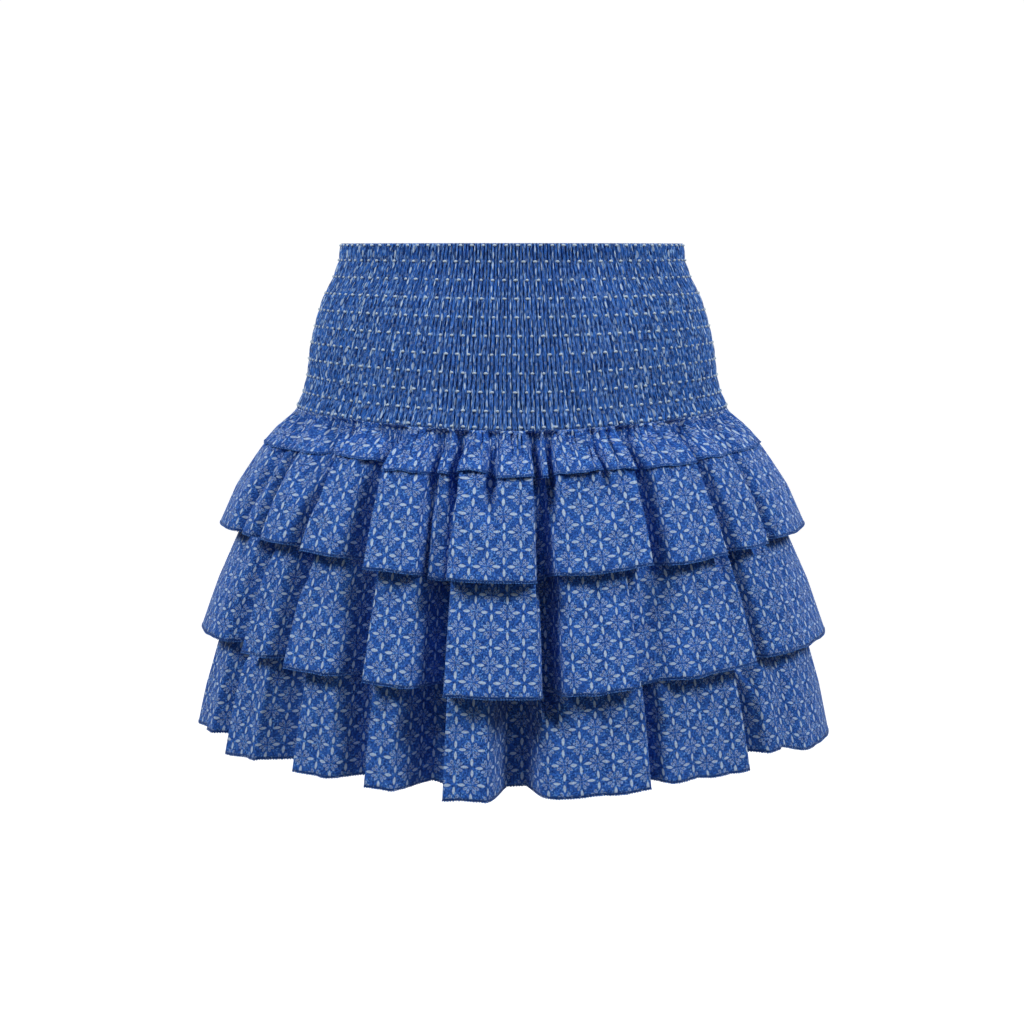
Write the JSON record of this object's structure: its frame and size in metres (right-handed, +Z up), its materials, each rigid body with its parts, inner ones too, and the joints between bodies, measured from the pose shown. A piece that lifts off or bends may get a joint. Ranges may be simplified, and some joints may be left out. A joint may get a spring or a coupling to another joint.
{
  "type": "smocked tiered mini skirt",
  "caption": "Short pull-on skirt with a long shirred yoke, a short top ruffle and gathered flounces in tiers, standing open as worn.",
  "frame": {"origin": "centre of the waist opening, level with the rim", "axes": "+Z up out of the waist opening, +X towards the wearer's left side, -Y towards the front"},
  "size_m": [0.4777, 0.3665, 0.3793],
  "materials": {
    "smocked_cotton": "matte printed cotton, shirred with elastic thread",
    "printed_cotton": "matte printed cotton, soft sheen, overlocked hem"
  },
  "bodies": {
    "root": {"yoke_front": "smocked_cotton", "yoke_back": "smocked_cotton", "top_ruffle_front": "printed_cotton", "top_ruffle_back": "printed_cotton", "tier_1_front": "printed_cotton", "tier_1_back": "printed_cotton", "tier_2_front": "printed_cotton", "tier_2_back": "printed_cotton", "tier_3_front": "printed_cotton", "tier_3_back": "printed_cotton"}
  },
  "joints": []
}
